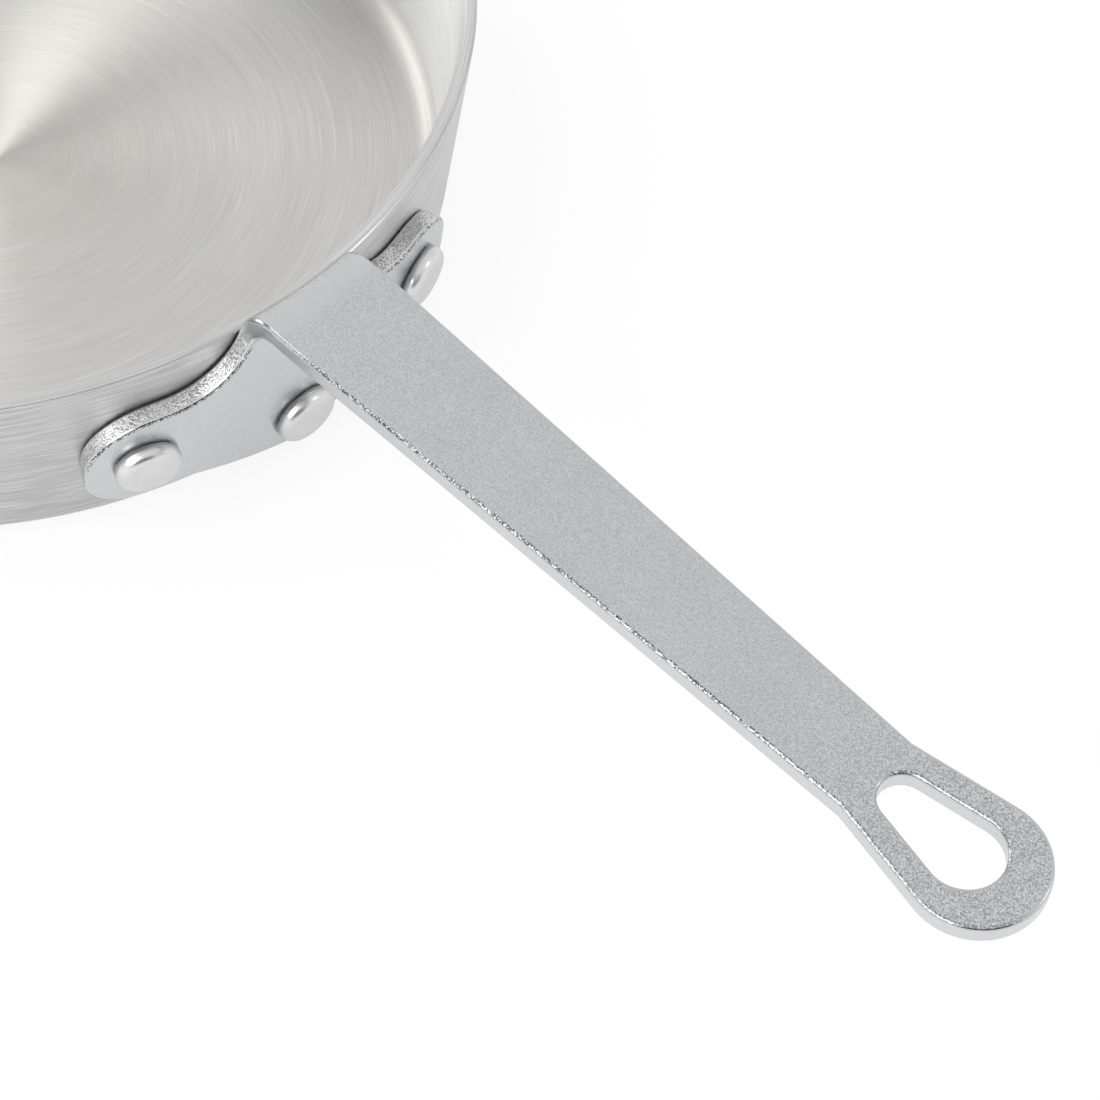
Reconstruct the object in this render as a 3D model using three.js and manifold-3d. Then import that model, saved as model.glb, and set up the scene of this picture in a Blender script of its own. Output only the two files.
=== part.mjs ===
// Saute pan: a pressed aluminium body, a one-piece plated steel strap handle and three rivets.
// Millimetres, +Z up. The origin is the middle of the base, and the handle runs along +X.
import * as THREE from 'three';
import { mergeVertices, toCreasedNormals } from 'three/addons/utils/BufferGeometryUtils.js';
import Module from 'manifold-3d';

const degrees = THREE.MathUtils.degToRad;

// Pan body: one sheet with a flat base and a wall that leans outwards
const rimRadius = 120;
const panHeight = 56;
const wallThickness = 3;
const baseThickness = 3.5;
const wallLean = degrees(9.2);
const cornerRadius = 9;
const innerCornerRadius = 6;
const rimRound = 0.7;

// Handle: the level strap, its bend above the rim and its eye
const strapThickness = 4.8;
const strapRise = 9.5;
const bendRadius = 10.8;
const rootWidth = 27.8;
const rootLength = 6;
const neckWidth = 19.6;
const gripLength = 157;
const neckToEye = 25;
const eyeRadius = 14.1;

// Hang hole: a wide end near the eye's centre and a narrow end towards the pan
const holeWideRadius = 7.8;
const holeNarrowRadius = 5.1;
const holeLength = 15;
const holeSetback = 2.9;

// Handle: the flange riveted to the wall, as seen from its front
const wingReach = 50.5;
const wingTop = 44;
const wingBottom = 14.5;
const wingUpperRound = 14.5;
const wingLowerRound = 11;
const wingFillet = 18;
const tongueRadius = 10.4;
const tongueStart = 27;

// Rivets: two set back from the wings' ends and a lower one in the middle, square to the wall
const sideRivetSetback = 13.1;
const sideRivetHeight = 28.4;
const middleRivetHeight = 16.8;
const headRadius = 7.6;
const headHeight = 3.4;
const headRound = 2.4;
const headCrown = 0.3;
const shankRadius = 4;
const innerHeadRadius = 7;
const innerHeadHeight = 1.6;

// Clearances between touching pieces
const flangeGap = 0.3;
const headGap = 0.25;
const shankGap = 0.3;

// Smoothness of round shapes, and how far a cutting body runs past what it cuts
const panSegments = 96;
const rivetSegments = 32;
const arcSteps = 2;
const outlineSteps = 5;
const cutMargin = 2;
const mergeTolerance = 1e-4;
const creaseAngle = degrees(30);

const aluminium = { color: 0xc9c9c6, roughness: 0.35, metalness: 1 };
const platedSteel = { color: 0xb9bbbd, roughness: 0.4, metalness: 1 };
const rivetAluminium = { color: 0xcfcfcc, roughness: 0.3, metalness: 1 };

const quarterTurn = Math.PI / 2;
const strapTop = panHeight + strapRise;
const strapUnderside = strapTop - strapThickness;
const flangeFront = flangeGap + strapThickness;

// Radius, at a height, of a surface that lies a distance outside the wall's outer face
function wallRadius(height, outside = 0) {
  const drop = panHeight - height;
  return rimRadius - drop * Math.tan(wallLean) + outside / Math.cos(wallLean);
}

const sideRivetReach = wingReach - sideRivetSetback;
const sideRivetAngle = Math.asin(sideRivetReach / wallRadius(sideRivetHeight));
const bendHeight = strapTop - bendRadius;
const bendReach = wallRadius(bendHeight, flangeGap + bendRadius);
const neckReach = bendReach + gripLength;
const eyeReach = neckReach + neckToEye;
const holeWideReach = eyeReach - holeSetback;
const holeNarrowReach = holeWideReach - holeLength;

const wasm = await Module();
wasm.setup();

function toSolid(geometry) {
  geometry.deleteAttribute('normal');
  geometry.deleteAttribute('uv');
  const merged = mergeVertices(geometry, mergeTolerance);
  const corners = merged.index.array;
  const kept = [];
  for (let i = 0; i < corners.length; i += 3) {
    const [a, b, c] = corners.subarray(i, i + 3);
    if (a !== b && b !== c && c !== a) {
      kept.push(a, b, c);
    }
  }
  const mesh = new wasm.Mesh({
    numProp: 3,
    vertProperties: new Float32Array(merged.attributes.position.array),
    triVerts: new Uint32Array(kept),
  });
  return new wasm.Manifold(mesh);
}

function toMesh(name, solid, finish) {
  const { vertProperties, triVerts } = solid.getMesh();
  const geometry = new THREE.BufferGeometry();
  geometry.setAttribute('position', new THREE.BufferAttribute(vertProperties, 3));
  geometry.setIndex(new THREE.BufferAttribute(triVerts, 1));
  const smoothed = toCreasedNormals(geometry, creaseAngle);
  const mesh = new THREE.Mesh(smoothed, new THREE.MeshStandardMaterial(finish));
  mesh.name = name;
  return mesh;
}

function turnedSolid(profile, segments) {
  const geometry = new THREE.LatheGeometry(profile, segments);
  geometry.rotateX(quarterTurn);
  return toSolid(geometry);
}

// A closed outline made of one side and its mirror image
function mirroredShape(side, flip) {
  const points = side.getPoints(outlineSteps);
  const others = points.map((point) => point.clone().multiply(flip));
  return new THREE.Shape([...points, ...others.reverse()]);
}

// Angle on a circle where a straight line from an outside point touches it
function touchAngle(centre, radius, point) {
  const toPoint = point.clone().sub(centre);
  return toPoint.angle() - Math.acos(radius / toPoint.length());
}

// Pan body
function panProfile() {
  const baseEdge = wallRadius(cornerRadius, -cornerRadius);
  const innerCornerHeight = baseThickness + innerCornerRadius;
  const floorEdge = wallRadius(innerCornerHeight, -wallThickness - innerCornerRadius);
  const rimHeight = panHeight - rimRound;
  const outerRim = wallRadius(rimHeight, -rimRound);
  const innerRim = wallRadius(rimHeight, rimRound - wallThickness);
  const profile = new THREE.Path();
  profile.moveTo(0, 0);
  profile.lineTo(baseEdge, 0);
  profile.absarc(baseEdge, cornerRadius, cornerRadius, -quarterTurn, -wallLean, false);
  profile.absarc(outerRim, rimHeight, rimRound, -wallLean, quarterTurn, false);
  profile.absarc(innerRim, rimHeight, rimRound, quarterTurn, Math.PI - wallLean, false);
  profile.absarc(floorEdge, innerCornerHeight, innerCornerRadius, -wallLean, -quarterTurn, true);
  profile.lineTo(0, baseThickness);
  return profile.getPoints(arcSteps);
}

// Handle: the flange and the bend, turned about the pan's axis so that they follow its wall
function flangeProfile() {
  const bendStart = Math.PI - wallLean;
  const rootEnd = bendReach + rootLength;
  const innerBend = bendRadius - strapThickness;
  const profile = new THREE.Path();
  profile.moveTo(wallRadius(0, flangeGap), 0);
  profile.lineTo(wallRadius(0, flangeFront), 0);
  profile.absarc(bendReach, bendHeight, innerBend, bendStart, quarterTurn, true);
  profile.lineTo(rootEnd, strapUnderside);
  profile.lineTo(rootEnd, strapTop);
  profile.absarc(bendReach, bendHeight, bendRadius, quarterTurn, bendStart, false);
  profile.closePath();
  return profile.getPoints(outlineSteps);
}

// Handle: front outline of the flange, its tongue around the middle rivet and its rounded wings
function flangeOutline() {
  const halfRoot = rootWidth / 2;
  const flangeMiddle = flangeGap + strapThickness / 2;
  const tongue = new THREE.Vector2(0, middleRivetHeight - flangeMiddle * Math.sin(wallLean));
  const tongueEnd = new THREE.Vector2(tongueStart, wingBottom);
  const touch = touchAngle(tongue, tongueRadius, tongueEnd);
  const lowerCorner = new THREE.Vector2(wingReach - wingLowerRound, wingBottom + wingLowerRound);
  const upperCorner = new THREE.Vector2(wingReach - wingUpperRound, wingTop - wingUpperRound);
  const fillet = new THREE.Vector2(halfRoot + wingFillet, wingTop + wingFillet);
  const side = new THREE.Path();
  side.absarc(tongue.x, tongue.y, tongueRadius, -quarterTurn, touch, false);
  side.lineTo(tongueEnd.x, tongueEnd.y);
  side.absarc(lowerCorner.x, lowerCorner.y, wingLowerRound, -quarterTurn, 0, false);
  side.absarc(upperCorner.x, upperCorner.y, wingUpperRound, 0, quarterTurn, false);
  side.absarc(fillet.x, fillet.y, wingFillet, -quarterTurn, -Math.PI, true);
  side.lineTo(halfRoot, Math.max(fillet.y, strapTop) + cutMargin);
  return mirroredShape(side, new THREE.Vector2(-1, 1));
}

function flangeSolid() {
  const depth = bendReach + rootLength + cutMargin;
  const cutter = new THREE.ExtrudeGeometry(flangeOutline(), { depth, bevelEnabled: false });
  const across = new THREE.Vector3(0, 1, 0);
  const up = new THREE.Vector3(0, 0, 1);
  const along = new THREE.Vector3(1, 0, 0);
  cutter.applyMatrix4(new THREE.Matrix4().makeBasis(across, up, along));
  return turnedSolid(flangeProfile(), panSegments).intersect(toSolid(cutter));
}

// Handle: top outline of the strap, tapering to the neck and flaring to the round eye
function strapOutline() {
  const eye = new THREE.Vector2(eyeReach, 0);
  const neck = new THREE.Vector2(neckReach, neckWidth / 2);
  const side = new THREE.Path();
  side.moveTo(bendReach + rootLength / 2, rootWidth / 2);
  side.lineTo(bendReach + rootLength, rootWidth / 2);
  side.lineTo(neck.x, neck.y);
  side.absarc(eye.x, eye.y, eyeRadius, touchAngle(eye, eyeRadius, neck), 0, true);
  return mirroredShape(side, new THREE.Vector2(1, -1));
}

function hangHole() {
  const flare = quarterTurn + Math.asin((holeWideRadius - holeNarrowRadius) / holeLength);
  const hole = new THREE.Path();
  hole.absarc(holeWideReach, 0, holeWideRadius, -flare, flare, false);
  hole.absarc(holeNarrowReach, 0, holeNarrowRadius, flare, 2 * Math.PI - flare, false);
  hole.closePath();
  return hole;
}

function strapSolid() {
  const outline = strapOutline();
  outline.holes.push(hangHole());
  const settings = { depth: strapThickness, bevelEnabled: false, curveSegments: outlineSteps };
  const geometry = new THREE.ExtrudeGeometry(outline, settings);
  geometry.translate(0, 0, strapUnderside);
  return toSolid(geometry);
}

// Rivets: each stands on the wall's outer face, with its axis square to the wall
function rivetProfile(height) {
  const seat = flangeFront + headGap;
  const shoulder = headHeight - headRound;
  const wallCurve = wallRadius(height, -wallThickness) / Math.cos(wallLean);
  const wallHollow = wallCurve - Math.sqrt(wallCurve ** 2 - innerHeadRadius ** 2);
  const innerSeat = -(wallThickness + wallHollow + headGap);
  const profile = new THREE.Path();
  profile.absellipse(0, innerSeat, innerHeadRadius, innerHeadHeight, -quarterTurn, 0, false, 0);
  profile.lineTo(shankRadius, innerSeat);
  profile.lineTo(shankRadius, seat);
  profile.lineTo(headRadius, seat);
  profile.absarc(headRadius - headRound, seat + shoulder, headRound, 0, quarterTurn, false);
  profile.lineTo(0, seat + headHeight + headCrown);
  return profile.getPoints(arcSteps);
}

function standOnWall(object, { angle, height }) {
  const outwards = new THREE.Vector3(Math.cos(wallLean), 0, -Math.sin(wallLean));
  const vertical = new THREE.Vector3(0, 0, 1);
  outwards.applyAxisAngle(vertical, angle);
  const radius = wallRadius(height);
  object.position.set(radius * Math.cos(angle), radius * Math.sin(angle), height);
  object.quaternion.setFromUnitVectors(vertical, outwards);
  object.updateMatrix();
  return object;
}

function rivetHole(place) {
  const radius = shankRadius + shankGap;
  const length = 2 * (wallThickness + flangeFront + cutMargin);
  const drill = new THREE.CylinderGeometry(radius, radius, length, rivetSegments);
  drill.rotateX(quarterTurn);
  drill.applyMatrix4(standOnWall(new THREE.Object3D(), place).matrix);
  return toSolid(drill);
}

const rivets = [
  { name: 'rivet_left', angle: -sideRivetAngle, height: sideRivetHeight },
  { name: 'rivet_centre', angle: 0, height: middleRivetHeight },
  { name: 'rivet_right', angle: sideRivetAngle, height: sideRivetHeight },
];

let body = turnedSolid(panProfile(), panSegments);
let handle = flangeSolid().add(strapSolid());
for (const rivet of rivets) {
  body = body.subtract(rivetHole(rivet));
  handle = handle.subtract(rivetHole(rivet));
}

const sautePan = new THREE.Group();
sautePan.add(toMesh('pan_body', body, aluminium));
sautePan.add(toMesh('handle', handle, platedSteel));
for (const rivet of rivets) {
  const solid = turnedSolid(rivetProfile(rivet.height), rivetSegments);
  sautePan.add(standOnWall(toMesh(rivet.name, solid, rivetAluminium), rivet));
}

export default sautePan;
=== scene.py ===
import math
import bpy
import bmesh
from mathutils import Matrix, Vector


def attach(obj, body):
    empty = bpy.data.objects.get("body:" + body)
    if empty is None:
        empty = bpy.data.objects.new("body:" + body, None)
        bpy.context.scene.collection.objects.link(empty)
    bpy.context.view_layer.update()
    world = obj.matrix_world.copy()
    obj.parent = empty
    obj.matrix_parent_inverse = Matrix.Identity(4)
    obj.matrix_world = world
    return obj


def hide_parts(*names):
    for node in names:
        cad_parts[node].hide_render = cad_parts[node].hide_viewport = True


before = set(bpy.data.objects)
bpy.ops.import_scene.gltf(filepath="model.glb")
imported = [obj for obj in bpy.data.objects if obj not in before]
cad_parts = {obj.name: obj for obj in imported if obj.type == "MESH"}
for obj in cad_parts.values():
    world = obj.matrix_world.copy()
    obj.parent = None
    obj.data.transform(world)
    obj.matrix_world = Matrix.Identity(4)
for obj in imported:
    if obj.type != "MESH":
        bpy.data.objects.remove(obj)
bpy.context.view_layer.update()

mm = 0.001
fullTurn = 2 * math.pi
quarterTurn = math.pi / 2
upward = (0, 0, 1)
weld = 0.001 * mm               # vertices closer than this are one

# the leaning wall, which the pan, the flange and the rivets share
wall = {
    "rimRadius": 120 * mm,
    "height": 56 * mm,
    "lean": math.radians(9.2),
}


def wallRadius(height, outside=0.0):
    drop = wall["height"] - height
    return wall["rimRadius"] - drop * math.tan(wall["lean"]) + outside / math.cos(wall["lean"])


# drawing with bmesh: a line grows a vertex, an arc spins it

def startAt(bm, place):
    return bmesh.ops.create_vert(bm, co=place)["vert"][0]


def lineTo(bm, vert, place):
    grown = bmesh.ops.extrude_vert_indiv(bm, verts=[vert])["verts"][0]
    grown.co = place
    return grown


def arcAround(bm, vert, centre, axis, angle, steps):
    swept = bmesh.ops.spin(bm, geom=[vert], cent=centre, axis=axis, angle=angle, steps=steps)
    return next(item for item in swept["geom_last"] if isinstance(item, bmesh.types.BMVert))


def turnProfile(bm, steps):
    outline = bm.verts[:] + bm.edges[:]
    bmesh.ops.spin(bm, geom=outline, cent=(0, 0, 0), axis=upward, angle=fullTurn, steps=steps,
                   use_merge=True)
    bmesh.ops.remove_doubles(bm, verts=bm.verts[:], dist=weld)
    bmesh.ops.recalc_face_normals(bm, faces=bm.faces[:])


def roundEdges(bm, edges, width, segments):
    bmesh.ops.bevel(bm, geom=edges, offset=width, offset_type="OFFSET", affect="EDGES",
                    segments=segments, profile=0.5, material=-1, clamp_overlap=True)


def finishPiece(bm, name, finish, node):
    mesh = bpy.data.meshes.new(name)
    bm.to_mesh(mesh)
    bm.free()
    mesh.shade_smooth()
    mesh.materials.append(finish)
    piece = bpy.data.objects.new(name, mesh)
    bpy.context.collection.objects.link(piece)
    piece.modifiers.new("evenNormals", "WEIGHTED_NORMAL")
    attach(piece, "root")
    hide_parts(node)
    print(name, "has", len(mesh.polygons), "faces")


# shader sums: a Wire is a socket that Python can add, multiply and so on

class Wire:
    def __init__(self, nodes, socket):
        self.nodes = nodes
        self.socket = socket

    def sum(self, operation, first, second):
        return self.nodes.node("ShaderNodeMath", {"operation": operation}, {0: first, 1: second})

    def __add__(self, other):
        return self.sum("ADD", self, other)

    def __radd__(self, other):
        return self.sum("ADD", other, self)

    def __sub__(self, other):
        return self.sum("SUBTRACT", self, other)

    def __rsub__(self, other):
        return self.sum("SUBTRACT", other, self)

    def __mul__(self, other):
        return self.sum("MULTIPLY", self, other)

    def __rmul__(self, other):
        return self.sum("MULTIPLY", other, self)

    def __truediv__(self, other):
        return self.sum("DIVIDE", self, other)

    def __rtruediv__(self, other):
        return self.sum("DIVIDE", other, self)

    def __pow__(self, other):
        return self.sum("POWER", self, other)

    def __rpow__(self, other):
        return self.sum("POWER", other, self)


class Nodes:
    def __init__(self, tree):
        self.tree = tree
        tree.nodes.clear()

    def node(self, kind, settings, sockets, output=0):
        made = self.tree.nodes.new(kind)
        for key, value in settings.items():
            setattr(made, key, value)
        for key, value in sockets.items():
            if isinstance(value, Wire):
                self.tree.links.new(value.socket, made.inputs[key])
            else:
                made.inputs[key].default_value = value
        return Wire(self, made.outputs[output]) if made.outputs else None

    def place(self):
        return self.node("ShaderNodeTexCoord", {}, {}, "Object")

    def mark(self, name):
        return self.node("ShaderNodeAttribute", {"attribute_name": name}, {}, "Fac")

    def split(self, vector):
        return [self.node("ShaderNodeSeparateXYZ", {}, {0: vector}, axis) for axis in range(3)]

    def join(self, x, y, z):
        return self.node("ShaderNodeCombineXYZ", {}, {0: x, 1: y, 2: z})

    def noise(self, vector, scale, detail, roughness):
        sockets = {"Vector": vector, "Scale": scale, "Detail": detail, "Roughness": roughness}
        return self.node("ShaderNodeTexNoise", {}, sockets)

    def ramp(self, value, low, high, bottom=0.0, top=1.0):
        sockets = {0: value, 1: low, 2: high, 3: bottom, 4: top}
        return self.node("ShaderNodeMapRange", {"interpolation_type": "SMOOTHSTEP"}, sockets)

    def blend(self, amount, first, second):
        sockets = {0: amount, 6: first, 7: second}
        return self.node("ShaderNodeMix", {"data_type": "RGBA"}, sockets, 2)

    def shade(self, amount, levels, tint=(1, 1, 1)):
        return self.blend(amount, tinted(levels[0], tint), tinted(levels[1], tint))

    def bump(self, height, strength, distance):
        sockets = {"Strength": strength, "Distance": distance, "Height": height}
        return self.node("ShaderNodeBump", {}, sockets)

    def ray(self, name):
        return self.node("ShaderNodeLightPath", {}, {}, name)

    def metal(self, colour, rough, normal, grain=0.0, grainTurn=0.0):
        shader = self.node("ShaderNodeBsdfPrincipled", {}, {
            "Base Color": colour, "Metallic": 1.0, "Roughness": rough, "Normal": normal,
            "Anisotropic": grain, "Anisotropic Rotation": grainTurn})
        self.node("ShaderNodeOutputMaterial", {}, {"Surface": shader})


def newFinish(name):
    finish = bpy.data.materials.new(name)
    finish.use_nodes = True
    return finish, Nodes(finish.node_tree)


def tinted(level, tint=(1, 1, 1)):
    return (level * tint[0], level * tint[1], level * tint[2], 1)


# pan: one aluminium sheet, turned from its profile
pan = {
    "sheet": 3 * mm,
    "base": 3.5 * mm,
    "outerCorner": 9 * mm,
    "innerCorner": 6 * mm,
    "rimRound": 0.7 * mm,
    "turns": 256,
    "cornerSteps": 10,
    "rimSteps": 5,
    "skin": (0.6 * mm, 1.6 * mm),           # depth at which the outer finish fades out
    "middleOfFloor": (10 * mm, 80 * mm),    # rougher and lighter, by radius
    "wallFoot": (5 * mm, 12 * mm),          # where the inner wall starts, by height
    "lip": (wall["height"] - 0.8 * mm, wall["height"] - 0.4 * mm),
    # grooves: pitch, changes in a turn, detail, start of the noise
    "fine": (0.3 * mm, 3.0, 2.0, 0.0),
    "middle": (1.1 * mm, 2.4, 2.0, 40.0),
    "broad": (9 * mm, 1.0, 2.0, 90.0),
    "scratch": (0.45 * mm, 4.5, 0.0, 150.0),
    "streak": (0.6 * mm, 1.6, 0.0, 210.0),
    "outerChanges": 7.0,                    # more changes in a turn, outside
    "grooveRoughness": 0.6,
    "scratchBand": (0.22, 0.32),            # only the noise's peaks are scratches
    "streakBand": (0.29, 0.35),
    "scratchShow": 0.25,
    "streakShow": 0.3,
    # strength on the floor, then what the centre, the outside and the lip add
    "fineTone": (1.5, -1.1, 4.0, 2.0),
    "middleTone": (0.7, -0.45, -0.2, 0.0),
    "broadTone": (0.4, 0.0, -0.3, 0.0),
    "rough": (0.39, 0.24, -0.03, -0.08),
    "fineRough": -0.1,
    "wallRough": 0.11,
    # darkest and lightest level of each zone
    "floorLevels": (0.6, 0.74),
    "centreLevels": (0.71, 0.88),
    "wallLevels": (0.64, 0.78),
    "outerLevels": (0.51, 0.67),
    "scratchLevel": 0.95,
    "floorTint": (1.008, 1.0, 0.955),
    "relief": (0.12, 0.02 * mm),            # strength and depth
    "centreCalm": 0.5,                      # share of the relief that the centre lacks
    "grain": (0.9, 0.25),                   # how far light is drawn out, and its turn
}


def panAluminium():
    finish, f = newFinish("turnedAluminium")
    x, y, z = f.split(f.place())
    radius = (x * x + y * y) ** 0.5
    along = radius + z
    east = x / radius
    north = y / radius
    depth = wall["rimRadius"] - (wall["height"] - z) * math.tan(wall["lean"]) - radius
    outside = f.ramp(depth, *pan["skin"], 1.0, 0.0)
    centre = f.ramp(radius, *pan["middleOfFloor"], 1.0, 0.0)
    steep = f.ramp(z, *pan["wallFoot"])
    lip = f.ramp(z, *pan["lip"])

    def grooves(name, more=0.0):
        pitch, changes, detail, start = pan[name]
        changes = changes + more
        place = f.join(along / pitch + start, east * changes, north * changes)
        return f.noise(place, 1.0, detail, pan["grooveRoughness"]) - 0.5

    def zoned(name):
        floor, atCentre, atOutside, atLip = pan[name]
        return floor + centre * atCentre + outside * atOutside + lip * atLip

    fine = grooves("fine", outside * (1 - lip) * pan["outerChanges"])
    middle = grooves("middle")
    scratch = f.ramp(grooves("scratch"), *pan["scratchBand"])
    streak = f.ramp(grooves("streak"), *pan["streakBand"]) * (1 - outside)
    tone = 0.5 + fine * zoned("fineTone") + middle * zoned("middleTone")
    tone = tone + grooves("broad") * zoned("broadTone")

    flatFloor = f.blend(centre, f.shade(tone, pan["floorLevels"], pan["floorTint"]),
                        f.shade(tone, pan["centreLevels"], pan["floorTint"]))
    inner = f.blend(steep, flatFloor, f.shade(tone, pan["wallLevels"]))
    colour = f.blend(outside, inner, f.shade(tone, pan["outerLevels"]))
    scored = scratch * pan["scratchShow"] + streak * pan["streakShow"]
    colour = f.blend(scored, colour, tinted(pan["scratchLevel"]))
    rough = zoned("rough") + fine * pan["fineRough"] + steep * (1 - outside) * pan["wallRough"]
    relief = (fine + middle) * (1 - centre * pan["centreCalm"])
    f.metal(colour, rough, f.bump(relief, *pan["relief"]), *pan["grain"])
    return finish


def makePan():
    height = wall["height"]
    inner = -pan["sheet"]
    bm = bmesh.new()
    pole = startAt(bm, (0, 0, 0))
    corner = lineTo(bm, pole, (wallRadius(0), 0, 0))
    outerRim = lineTo(bm, corner, (wallRadius(height), 0, height))
    innerRim = lineTo(bm, outerRim, (wallRadius(height, inner), 0, height))
    floorEdge = lineTo(bm, innerRim, (wallRadius(pan["base"], inner), 0, pan["base"]))
    lineTo(bm, floorEdge, (0, 0, pan["base"]))
    turnProfile(bm, pan["turns"])

    def roundRing(level, outside, width, steps):
        near = 0.01 * mm
        radius = wallRadius(level, outside)
        ring = [edge for edge in bm.edges if all(
            abs(vert.co.xy.length - radius) < near and abs(vert.co.z - level) < near
            for vert in edge.verts)]
        roundEdges(bm, ring, width, steps)

    cornerPull = math.tan((quarterTurn - wall["lean"]) / 2)
    roundRing(0, 0, pan["outerCorner"] * cornerPull, pan["cornerSteps"])
    roundRing(pan["base"], inner, pan["innerCorner"] * cornerPull, pan["cornerSteps"])
    roundRing(height, 0, pan["rimRound"], pan["rimSteps"])
    roundRing(height, inner, pan["rimRound"], pan["rimSteps"])
    finishPiece(bm, "panSheet", panAluminium(), "pan_body")


# handle: cut flat as half an outline, mirrored, thickened and bent
strap = {
    "thickness": 4.8 * mm,
    "gap": 0.3 * mm,            # between the wall and the flange
    "top": 65.5 * mm,
    "bendRadius": 10.8 * mm,
    "rootWidth": 27.8 * mm,
    "rootLength": 6 * mm,
    "neckWidth": 19.6 * mm,
    "gripLength": 157 * mm,
    "neckToEye": 25 * mm,
    "eyeRadius": 14.1 * mm,
    "holeWide": 7.8 * mm,
    "holeNarrow": 5.1 * mm,
    "holeLength": 15 * mm,
    "holeSetback": 2.9 * mm,
    "wingReach": 49.8 * mm,     # along the wall side, whose edges are cut square
    "wingTop": 44 * mm,
    "wingBottom": 14.5 * mm,
    "wingUpperRound": 14.5 * mm,
    "wingLowerRound": 11 * mm,
    "wingFillet": 18 * mm,
    "tongueRadius": 10.4 * mm,
    "tongueHeight": 16.4 * mm,
    "tongueStart": 27 * mm,
    "edgeRound": 0.8 * mm,
    "edgeSteps": 3,
    "flatten": 40 * mm,         # length in which the curved bend line fades out
    "wingCut": 2.5 * mm,
    "cutSlack": 0.1 * mm,       # takes the wing's cuts just past the bend
    "bendCuts": 14,
    "tongueSteps": 8,
    "lowerSteps": 12,
    "upperSteps": 14,
    "filletSteps": 16,
    "eyeSteps": 28,
    "holeWideSteps": 20,
    "holeNarrowSteps": 14,
    "cornerAngle": 1.2,         # edges sharper than this are rounded
    "faceTilt": 0.98,           # upward part of a normal: more than this is a flat face,
    "sideTilt": 0.02,           # less than this a cut side,
    "dotTilt": 0.5,             # and a rounding with more than this is dotted
    "markGain": 2.5,            # how soon a side that turns away loses its mark
    # where the finish changes, along x
    "eyeZone": (255 * mm, 312 * mm),
    "flangeZone": (128 * mm, 136 * mm),
    "bendZone": (132 * mm, 150 * mm),
    "bendRise": (54 * mm, 58 * mm),     # along z
    "farShadeZone": (0.0, 20 * mm),          # along y
    # noise: changes in a metre, detail, roughness
    "pebble": (2600.0, 3.0, 0.7),
    "cloud": (60.0, 3.0, 0.5),
    "glint": (2900.0, 1.0, 0.5),
    "grit": (2000.0, 2.0, 0.7),
    "dash": (2000.0, 3.0, 0.8),
    "patch": (130.0, 1.0, 0.5),
    "glintBand": (0.60, 0.72),
    "gritBand": (0.42, 0.54),
    "dashBand": (0.47, 0.57),
    "patchBand": (0.38, 0.62),
    # strength on the strap, then what the eye adds
    "pebbleTone": (3.4, 1.6),
    "pebbleRelief": (0.35, 0.5),
    "glintShow": (0.15, 0.7),
    "sparkleShow": (0.85, -0.3),
    # strength of the rest
    "cloudTone": 0.3,
    # painted light: cut sides and the flange are made lighter
    "cutLightTone": 0.4,             # on cut sides and on the flange
    # painted shade: cut sides are darkened at the bend
    "bendShadeShow": 0.4,
    "bendCalm": 0.8,            # share of the dots that the bend lacks
    "shearShow": 0.9,
    "gritTorn": 0.7,
    "patchTorn": 0.45,
    # painted shade: the far wing's torn sides are darkened
    "farTornShade": -0.4,            # torn sides are darker on the far wing
    "tornRelief": 8.0,
    "dotRelief": 1.5,
    "rough": 0.36,
    "brightRough": -0.1,        # on glints, torn sides and dots
    "edgeRough": -0.08,
    # darkest and lightest level
    "faceLevels": (0.44, 0.63),
    # the eye: a wider spread for coarser pebbling, partly lowered as painted shade
    "eyeShadedLevels": (0.32, 0.66),
    "tornLevels": (0.3, 1.0),
    # painted sparkle: near-black and light specks
    "sparkleLevels": (0.03, 0.75),
    "glintLevel": 0.95,
    "bendShadeLevel": 0.3,
    "faceTint": (0.988, 1.0, 1.014),
    "relief": (0.4, 0.08 * mm),
}


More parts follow.
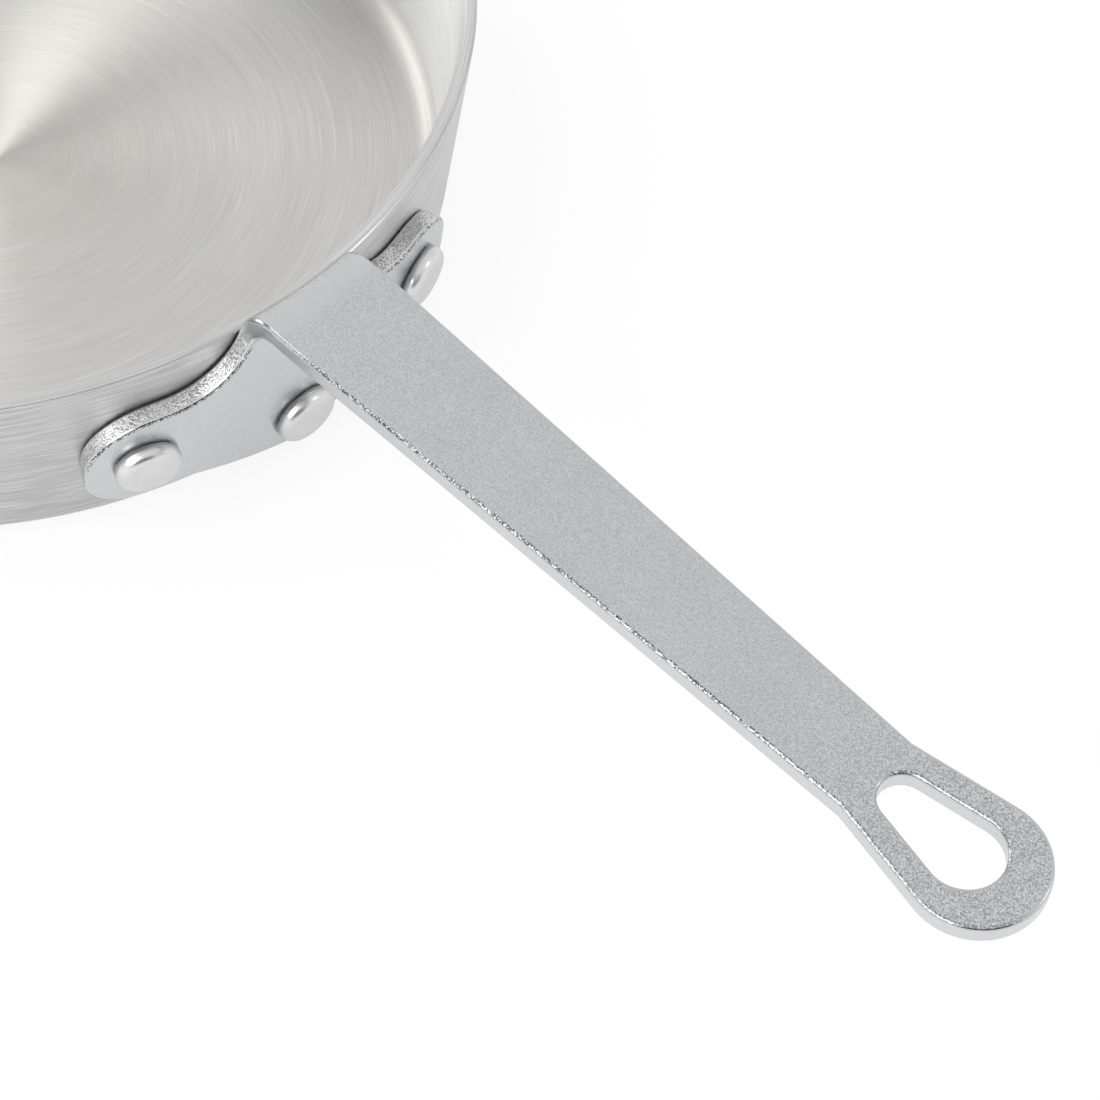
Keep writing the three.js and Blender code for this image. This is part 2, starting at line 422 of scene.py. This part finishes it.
def platedSteel():
    finish, f = newFinish("platedSteel")
    place = f.place()
    x, y, z = f.split(place)
    sheared = f.mark("sheared")
    side = f.mark("side")
    edged = f.mark("edged")
    dotted = f.mark("dotted")
    eye = f.ramp(x, *strap["eyeZone"])
    flange = f.ramp(x, *strap["flangeZone"], 1.0, 0.0)
    bend = f.ramp(z, *strap["bendRise"]) * f.ramp(x, *strap["bendZone"], 1.0, 0.0)
    farShadeZone = f.ramp(y, *strap["farShadeZone"])
    calm = (1 - flange) * (1 - edged) * (1 - side)

    def strength(name):
        onStrap, atEye = strap[name]
        return onStrap + eye * atEye

    pebble = f.noise(place, *strap["pebble"]) - 0.5
    cloud = f.noise(place, *strap["cloud"]) - 0.5
    glint = f.ramp(f.noise(place, *strap["glint"]), *strap["glintBand"])
    grit = f.noise(place, *strap["grit"])
    dash = f.ramp(f.noise(place, *strap["dash"]), *strap["dashBand"])
    patch = f.ramp(f.noise(place, *strap["patch"]), *strap["patchBand"])

    tone = 0.5 + pebble * strength("pebbleTone") * calm + cloud * strap["cloudTone"]
    # painted light: the cut sides and the flange are made lighter
    tone = tone + (flange + side) * strap["cutLightTone"]
    # the eye has its own levels: coarser pebbling, partly darkened as painted shade
    colour = f.blend(eye * calm, f.shade(tone, strap["faceLevels"], strap["faceTint"]),
                     f.shade(tone, strap["eyeShadedLevels"], strap["faceTint"]))
    # painted glints: light specks in the colour, stronger at the eye
    colour = f.blend(glint * strength("glintShow") * calm, colour, tinted(strap["glintLevel"]))
    # painted shade: the cut sides darken at the bend
    colour = f.blend(bend * side * strap["bendShadeShow"], colour, tinted(strap["bendShadeLevel"]))
    # torn sides: grit and patches, with painted shade on the far wing
    torn = f.ramp(grit, *strap["gritBand"]) * strap["gritTorn"]
    torn = torn + patch * strap["patchTorn"] + farShadeZone * strap["farTornShade"]
    colour = f.blend(sheared * strap["shearShow"], colour, f.shade(torn, strap["tornLevels"]))
    # painted sparkle: dark and light specks on the dotted roundings stand in for reflections
    sparkleAmount = dotted * strength("sparkleShow") * (1 - bend * strap["bendCalm"])
    colour = f.blend(sparkleAmount, colour, f.shade(dash, strap["sparkleLevels"]))
    rough = strap["rough"] + (glint + sheared + sparkleAmount) * strap["brightRough"]
    rough = rough + (edged + flange) * strap["edgeRough"]
    relief = pebble * strength("pebbleRelief") * calm
    relief = relief + grit * (sheared * strap["tornRelief"] + sparkleAmount * strap["dotRelief"])
    f.metal(colour, rough, f.bump(relief, *strap["relief"]))
    return finish


def bendPlaces():
    lean = wall["lean"]
    centreHeight = strap["top"] - strap["bendRadius"]
    reach = wallRadius(centreHeight, strap["gap"] + strap["bendRadius"])
    return {
        "reach": reach,
        "height": centreHeight,
        "startRadius": reach - strap["bendRadius"] * math.cos(lean),
        "startHeight": centreHeight + strap["bendRadius"] * math.sin(lean),
        "length": strap["bendRadius"] * (quarterTurn - lean),
    }


def flatHalf(bm, bend):
    # x runs along the sheet from the bend's start, so the flange lies below 0

    def level(height):
        return (height - bend["startHeight"]) / math.cos(wall["lean"])

    def polar(centre, radius, angle):
        return centre + radius * Vector((math.cos(angle), math.sin(angle)))

    def spread(away, radius):
        return math.acos(radius / away.length)

    halfRoot = strap["rootWidth"] / 2
    tongue = Vector((level(strap["tongueHeight"]), 0))
    tongueEnd = Vector((level(strap["wingBottom"]), strap["tongueStart"]))
    away = tongueEnd - tongue
    touch = math.atan2(away.y, away.x) + spread(away, strap["tongueRadius"])
    vert = startAt(bm, (tongue.x - strap["tongueRadius"], 0, 0))
    vert = arcAround(bm, vert, (tongue.x, 0, 0), upward, touch - math.pi,
                     strap["tongueSteps"])
    vert = lineTo(bm, vert, (*tongueEnd, 0))

    low = level(strap["wingBottom"])
    high = level(strap["wingTop"])
    reach = strap["wingReach"]
    lower = strap["wingLowerRound"]
    upper = strap["wingUpperRound"]
    fillet = strap["wingFillet"]
    vert = lineTo(bm, vert, (low, reach - lower, 0))
    vert = arcAround(bm, vert, (low + lower, reach - lower, 0), upward, -quarterTurn,
                     strap["lowerSteps"])
    vert = lineTo(bm, vert, (high - upper, reach, 0))
    vert = arcAround(bm, vert, (high - upper, reach - upper, 0), upward, -quarterTurn,
                     strap["upperSteps"])
    vert = lineTo(bm, vert, (high, halfRoot + fillet, 0))
    vert = arcAround(bm, vert, (high + fillet, halfRoot + fillet, 0), upward, quarterTurn,
                     strap["filletSteps"])

    neck = Vector((bend["length"] + strap["gripLength"], strap["neckWidth"] / 2))
    eye = Vector((neck.x + strap["neckToEye"], 0))
    away = neck - eye
    touch = math.atan2(away.y, away.x) - spread(away, strap["eyeRadius"])
    vert = lineTo(bm, vert, (bend["length"] + strap["rootLength"], halfRoot, 0))
    vert = lineTo(bm, vert, (*neck, 0))
    vert = lineTo(bm, vert, (*polar(eye, strap["eyeRadius"], touch), 0))
    vert = arcAround(bm, vert, (*eye, 0), upward, -touch, strap["eyeSteps"])

    wide = Vector((eye.x - strap["holeSetback"], 0))
    narrow = Vector((wide.x - strap["holeLength"], 0))
    opening = (strap["holeWide"] - strap["holeNarrow"]) / strap["holeLength"]
    flare = quarterTurn + math.asin(opening)
    vert = lineTo(bm, vert, (wide.x + strap["holeWide"], 0, 0))
    vert = arcAround(bm, vert, (*wide, 0), upward, flare, strap["holeWideSteps"])
    vert = lineTo(bm, vert, (*polar(narrow, strap["holeNarrow"], flare), 0))
    arcAround(bm, vert, (*narrow, 0), upward, math.pi - flare, strap["holeNarrowSteps"])
    bmesh.ops.contextual_create(bm, geom=bm.edges[:] + bm.verts[:])


def markFaces(bm):
    # the flange's upper cut sides are torn; roundings there and on the left get painted sparkle,
    # dark and light specks that stand in for reflections
    names = ("sheared", "edged", "dotted", "side")
    sheared, edged, dotted, side = [bm.faces.layers.float.new(name) for name in names]
    for face in bm.faces:
        tilt = abs(face.normal.z)
        if tilt > strap["faceTilt"]:
            continue
        facing = face.normal.xy.normalized()
        onFlange = face.calc_center_median().x < 0
        seen = strap["markGain"] * (facing.x if onFlange else -facing.y)
        amount = min(1.0, max(0.0, seen))
        upright = tilt < strap["sideTilt"]
        face[sheared] = amount if upright and onFlange else 0.0
        face[edged] = 0.0 if upright else 1.0
        face[dotted] = amount if tilt > strap["dotTilt"] else 0.0
        face[side] = 1.0 if upright else 0.0


def bendStrap(bm, bend):
    lean = wall["lean"]
    for vert in bm.verts:
        along, across, depth = vert.co.x, vert.co.y, -vert.co.z
        if along < 0:
            backRadius = bend["startRadius"] + along * math.sin(lean)
            radius = backRadius + depth * math.cos(lean)
            height = bend["startHeight"] + along * math.cos(lean) - depth * math.sin(lean)
        elif along < bend["length"]:
            turned = math.pi - lean - along / strap["bendRadius"]
            backRadius = bend["reach"] + strap["bendRadius"] * math.cos(turned)
            radius = bend["reach"] + (strap["bendRadius"] - depth) * math.cos(turned)
            height = bend["height"] + (strap["bendRadius"] - depth) * math.sin(turned)
        else:
            past = along - bend["length"]
            hollow = bend["reach"] - math.sqrt(bend["reach"] ** 2 - across ** 2)
            fade = max(0.0, 1 - past / strap["flatten"])
            vert.co = (bend["reach"] + past - hollow * fade, across, strap["top"] - depth)
            continue
        angle = math.asin(across / backRadius)
        vert.co = (radius * math.cos(angle), radius * math.sin(angle), height)


def cutAcross(bm, places, axis, reach):
    normal = Vector((0, 0, 0))
    normal[axis] = 1
    for place in places:
        faces = [face for face in bm.faces if all(v.co.x < reach for v in face.verts)]
        parts = set(faces)
        for face in faces:
            parts.update(face.edges)
            parts.update(face.verts)
        bmesh.ops.bisect_plane(bm, geom=list(parts), dist=weld / 2,
                               plane_co=normal * place, plane_no=normal)


def makeHandle():
    bend = bendPlaces()
    bm = bmesh.new()
    flatHalf(bm, bend)
    bmesh.ops.mirror(bm, geom=bm.verts[:] + bm.edges[:] + bm.faces[:], matrix=Matrix.Identity(4),
                     merge_dist=weld, axis="Y")
    bmesh.ops.recalc_face_normals(bm, faces=bm.faces[:])
    thick = bmesh.ops.extrude_face_region(bm, geom=bm.faces[:], use_keep_orig=True)
    lowered = [item for item in thick["geom"] if isinstance(item, bmesh.types.BMVert)]
    bmesh.ops.translate(bm, verts=lowered, vec=(0, 0, -strap["thickness"]))
    bmesh.ops.recalc_face_normals(bm, faces=bm.faces[:])
    corners = [edge for edge in bm.edges
               if edge.is_manifold and edge.calc_face_angle(0.0) > strap["cornerAngle"]]
    roundEdges(bm, corners, strap["edgeRound"], strap["edgeSteps"])
    bm.normal_update()
    markFaces(bm)
    whole = bend["length"] + strap["gripLength"] + strap["neckToEye"] + 2 * strap["eyeRadius"]
    bendCount = strap["bendCuts"]
    bendCuts = [bend["length"] * step / bendCount for step in range(bendCount + 1)]
    cutAcross(bm, bendCuts, 0, whole)
    wingCount = int(strap["wingReach"] / strap["wingCut"])
    wingCuts = [strap["wingCut"] * step for step in range(-wingCount, wingCount + 1)]
    cutAcross(bm, wingCuts, 1, bend["length"] + strap["cutSlack"])
    bendStrap(bm, bend)
    bmesh.ops.recalc_face_normals(bm, faces=bm.faces[:])
    finishPiece(bm, "strapHandle", platedSteel(), "handle")


# rivets: a low round-shouldered head outside and a set head inside
rivet = {
    "sideReach": 37.4 * mm,     # from the middle of the handle
    "sideHeight": 28.4 * mm,
    "middleHeight": 16.8 * mm,
    "headRadius": 7.6 * mm,
    "headHeight": 3.4 * mm,
    "headRound": 2.4 * mm,
    "crown": 0.3 * mm,
    "seatGap": 0.25 * mm,
    "shankRadius": 4 * mm,
    "setRadius": 7 * mm,
    "setHeight": 1.6 * mm,
    "turns": 96,
    "crownSteps": 8,
    "shoulderSteps": 12,
    "setSteps": 10,
    "cloud": (220.0, 3.0, 0.5),     # noise: changes in a metre, detail, roughness
    "tooth": (1800.0, 3.0, 0.6),
    "cloudTone": 0.8,
    "toothTone": 0.3,
    "toothRough": 0.1,
    "levels": (0.62, 0.74),
    "rough": 0.29,
    "relief": (0.05, 0.03 * mm),
}


def rivetAluminium():
    finish, f = newFinish("rivetAluminium")
    place = f.place()
    cloud = f.noise(place, *rivet["cloud"]) - 0.5
    tooth = f.noise(place, *rivet["tooth"]) - 0.5
    tone = 0.5 + cloud * rivet["cloudTone"] + tooth * rivet["toothTone"]
    rough = rivet["rough"] + tooth * rivet["toothRough"]
    f.metal(f.shade(tone, rivet["levels"]), rough, f.bump(tooth, *rivet["relief"]))
    return finish


def rivetPlace(angle, height):
    lean = wall["lean"]
    around = Vector((math.cos(angle), math.sin(angle), 0))
    outward = around * math.cos(lean) - Vector(upward) * math.sin(lean)
    foot = around * wallRadius(height) + Vector(upward) * height
    turn = Vector(upward).rotation_difference(outward).to_matrix().to_4x4()
    return Matrix.Translation(foot) @ turn


def makeRivet(name, angle, height, finish):
    seat = strap["gap"] + strap["thickness"] + rivet["seatGap"]
    top = seat + rivet["headHeight"]
    hollow = wallRadius(height, -pan["sheet"]) / math.cos(wall["lean"])
    dip = hollow - math.sqrt(hollow ** 2 - rivet["setRadius"] ** 2)
    inside = -(pan["sheet"] + dip + rivet["seatGap"])
    side = (0, 1, 0)
    flat = rivet["headRadius"] - rivet["headRound"]
    bm = bmesh.new()
    vert = startAt(bm, (0, 0, top + rivet["crown"]))
    crownRadius = (flat ** 2 + rivet["crown"] ** 2) / (2 * rivet["crown"])
    crownTurn = math.asin(flat / crownRadius)
    vert = arcAround(bm, vert, (0, 0, top + rivet["crown"] - crownRadius), side, crownTurn,
                     rivet["crownSteps"])
    vert = arcAround(bm, vert, (flat, 0, top - rivet["headRound"]), side, quarterTurn,
                     rivet["shoulderSteps"])
    vert = lineTo(bm, vert, (rivet["headRadius"], 0, seat))
    vert = lineTo(bm, vert, (rivet["shankRadius"], 0, seat))
    vert = lineTo(bm, vert, (rivet["shankRadius"], 0, inside))
    vert = lineTo(bm, vert, (rivet["setRadius"], 0, inside))
    setCurve = (rivet["setRadius"] ** 2 + rivet["setHeight"] ** 2) / (2 * rivet["setHeight"])
    setTurn = math.asin(rivet["setRadius"] / setCurve)
    arcAround(bm, vert, (0, 0, inside - rivet["setHeight"] + setCurve), side, setTurn,
              rivet["setSteps"])
    turnProfile(bm, rivet["turns"])
    bmesh.ops.transform(bm, matrix=rivetPlace(angle, height), verts=bm.verts[:])
    finishPiece(bm, name + "Rivet", finish, "rivet_" + name)


def makeRivets():
    sideAngle = math.asin(rivet["sideReach"] / wallRadius(rivet["sideHeight"]))
    finish = rivetAluminium()
    makeRivet("left", -sideAngle, rivet["sideHeight"], finish)
    makeRivet("centre", 0.0, rivet["middleHeight"], finish)
    makeRivet("right", sideAngle, rivet["sideHeight"], finish)


# camera, where the photograph was taken from
view = {
    "azimuth": math.radians(46.87),
    "elevation": math.radians(54.9),
    "distance": 581.2 * mm,
    "aim": Vector((197.2, 2.5, 40.4)) * mm,
    "lens": 92.43,
    "sensor": 36.0,
    "clipStart": 10 * mm,
}


def towardsCamera():
    level = math.cos(view["elevation"])
    return Vector((math.sin(view["azimuth"]) * level, -math.cos(view["azimuth"]) * level,
                   math.sin(view["elevation"])))


def makeCamera():
    lens = bpy.data.cameras.new("camera")
    lens.sensor_width = view["sensor"]
    lens.lens = view["lens"]
    lens.clip_start = view["clipStart"]
    camera = bpy.data.objects.new("camera", lens)
    camera.location = view["aim"] + towardsCamera() * view["distance"]
    camera.rotation_euler = (-towardsCamera()).to_track_quat("-Z", "Y").to_euler()
    bpy.context.collection.objects.link(camera)
    bpy.context.scene.camera = camera


# studio: a white floor and sky, soft panels, and dark cards that only the metal mirrors
studio = {
    "aim": Vector((0.12, 0.0, 0.03)),
    "floorSize": 6.0,
    "floorDrop": 0.1 * mm,      # keeps the floor clear of the base
    "floorTone": 0.95,
    "floorShown": 0.85,         # share of the floor that shows as plain white
    "floorMirrored": 0.3,       # the same in the metal
    "skyShown": 1.0,
    "skyMirrored": 0.91,
    "skyLight": 0.95,
    # degrees round from the handle, degrees up, metres away; a glow of 1 is white
    "panels": {
        "keyPanel": {"round": -85, "up": 36, "away": 1.2, "size": (1.1, 0.72), "glow": 2.6},
        "leftPanel": {"round": -168, "up": 15, "away": 1.2, "size": (0.6, 0.35), "glow": 4.2},
        "highPanel": {"round": -174, "up": 60, "away": 1.2, "size": (0.35, 0.25), "glow": 2.0},
        "sidePanel": {"round": 42, "up": 26, "away": 1.4, "size": (0.25, 0.4), "glow": 2.5},
    },
    "cards": {
        "frontCard": {"round": -30, "up": 15, "away": 1.2, "size": (1.2, 0.75), "glow": 0.16},
        "leftCard": {"round": -160, "up": 36, "away": 1.1, "size": (0.5, 0.42), "glow": 0.1},
    },
}


def placeAround(item):
    turn, rise = math.radians(item["round"]), math.radians(item["up"])
    level = math.cos(rise)
    out = Vector((level * math.cos(turn), level * math.sin(turn), math.sin(rise)))
    return studio["aim"] + out * item["away"], (-out).to_track_quat("-Z", "Y").to_euler()


def flatSheet(name, size):
    bm = bmesh.new()
    bmesh.ops.create_grid(bm, x_segments=1, y_segments=1, size=0.5)
    bmesh.ops.scale(bm, vec=(*size, 1), verts=bm.verts[:])
    mesh = bpy.data.meshes.new(name)
    bm.to_mesh(mesh)
    bm.free()
    sheet = bpy.data.objects.new(name, mesh)
    bpy.context.collection.objects.link(sheet)
    return sheet


def makeFloor():
    floor = flatSheet("floor", (studio["floorSize"], studio["floorSize"]))
    floor.location.z = -studio["floorDrop"]
    finish, f = newFinish("floorWhite")
    plain = f.node("ShaderNodeBsdfDiffuse", {}, {"Color": tinted(studio["floorTone"])})
    glow = f.node("ShaderNodeEmission", {}, {"Color": tinted(1.0), "Strength": 1.0})
    share = f.ray("Is Camera Ray") * studio["floorShown"] + (
        f.ray("Is Glossy Ray") + f.ray("Is Transmission Ray")) * studio["floorMirrored"]
    mixed = f.node("ShaderNodeMixShader", {}, {0: share, 1: plain, 2: glow})
    f.node("ShaderNodeOutputMaterial", {}, {"Surface": mixed})
    floor.data.materials.append(finish)


def makeSky():
    sky = bpy.data.worlds.new("sky")
    sky.use_nodes = True
    bpy.context.scene.world = sky
    w = Nodes(sky.node_tree)
    light = studio["skyLight"]
    strength = light + w.ray("Is Camera Ray") * (studio["skyShown"] - light) + (
        w.ray("Is Glossy Ray") + w.ray("Is Transmission Ray")) * (studio["skyMirrored"] - light)
    shade = w.node("ShaderNodeBackground", {}, {"Color": tinted(1.0), "Strength": strength})
    w.node("ShaderNodeOutputWorld", {}, {"Surface": shade})


def makePanels():
    for name, panel in studio["panels"].items():
        lamp = bpy.data.lights.new(name, "AREA")
        lamp.shape = "RECTANGLE"
        lamp.size, lamp.size_y = panel["size"]
        lamp.energy = math.pi * lamp.size * lamp.size_y * panel["glow"]
        holder = bpy.data.objects.new(name, lamp)
        holder.location, holder.rotation_euler = placeAround(panel)
        bpy.context.collection.objects.link(holder)


def makeCards():
    for name, card in studio["cards"].items():
        sheet = flatSheet(name, card["size"])
        sheet.location, sheet.rotation_euler = placeAround(card)
        sheet.visible_camera = False
        sheet.visible_diffuse = False
        sheet.visible_shadow = False
        finish, f = newFinish(name)
        glow = f.node("ShaderNodeEmission", {}, {"Color": tinted(1.0), "Strength": card["glow"]})
        f.node("ShaderNodeOutputMaterial", {}, {"Surface": glow})
        sheet.data.materials.append(finish)


makeCamera()
makePan()
makeHandle()
makeRivets()
makeFloor()
makeSky()
makePanels()
makeCards()
bpy.context.scene.view_settings.view_transform = "Standard"
print("studio is set")
